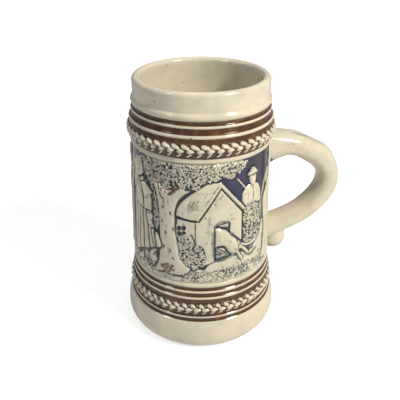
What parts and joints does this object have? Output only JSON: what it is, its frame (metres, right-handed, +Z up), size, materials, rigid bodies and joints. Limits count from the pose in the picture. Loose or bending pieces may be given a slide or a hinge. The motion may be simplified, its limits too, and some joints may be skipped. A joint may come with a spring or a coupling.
{
  "type": "beer stein",
  "caption": "Glazed stoneware beer stein without a lid: ringed cylindrical body, looped side handle, plaited bands and a country scene in low relief.",
  "frame": {"origin": "centre of the foot ring, on the body's axis at table height", "axes": "+Z up along the body's axis, +X towards the middle of the handle, -Y towards the picture"},
  "size_m": [0.1342, 0.0966, 0.16],
  "materials": {
    "cream_glaze": "glossy mottled cream salt glaze with fine iron specks, brown bands in the grooves",
    "band_glaze": "cream glaze wiped off the tops, dark brown left in the hollows",
    "relief_glaze": "cream glaze with a grey-blue stain in the hollows and cobalt sky"
  },
  "bodies": {
    "root": {"body": "cream_glaze", "handle": "cream_glaze", "handle_tail": "cream_glaze", "upper_plait_band": "band_glaze", "lower_plait_band": "band_glaze", "tree_trunk": "relief_glaze", "tree_crown": "relief_glaze", "cottage": "relief_glaze", "dog": "relief_glaze", "hunter": "relief_glaze", "rifle": "relief_glaze", "hedge": "relief_glaze", "corner_bush": "relief_glaze", "farm_girl": "relief_glaze", "farm_lad": "relief_glaze", "geese": "relief_glaze", "gate_tree": "relief_glaze", "field_tree_trunk": "relief_glaze", "field_tree_crown": "relief_glaze", "haystack": "relief_glaze", "garden_bush": "relief_glaze", "fence": "relief_glaze", "ground_bank": "relief_glaze"}
  },
  "joints": []
}
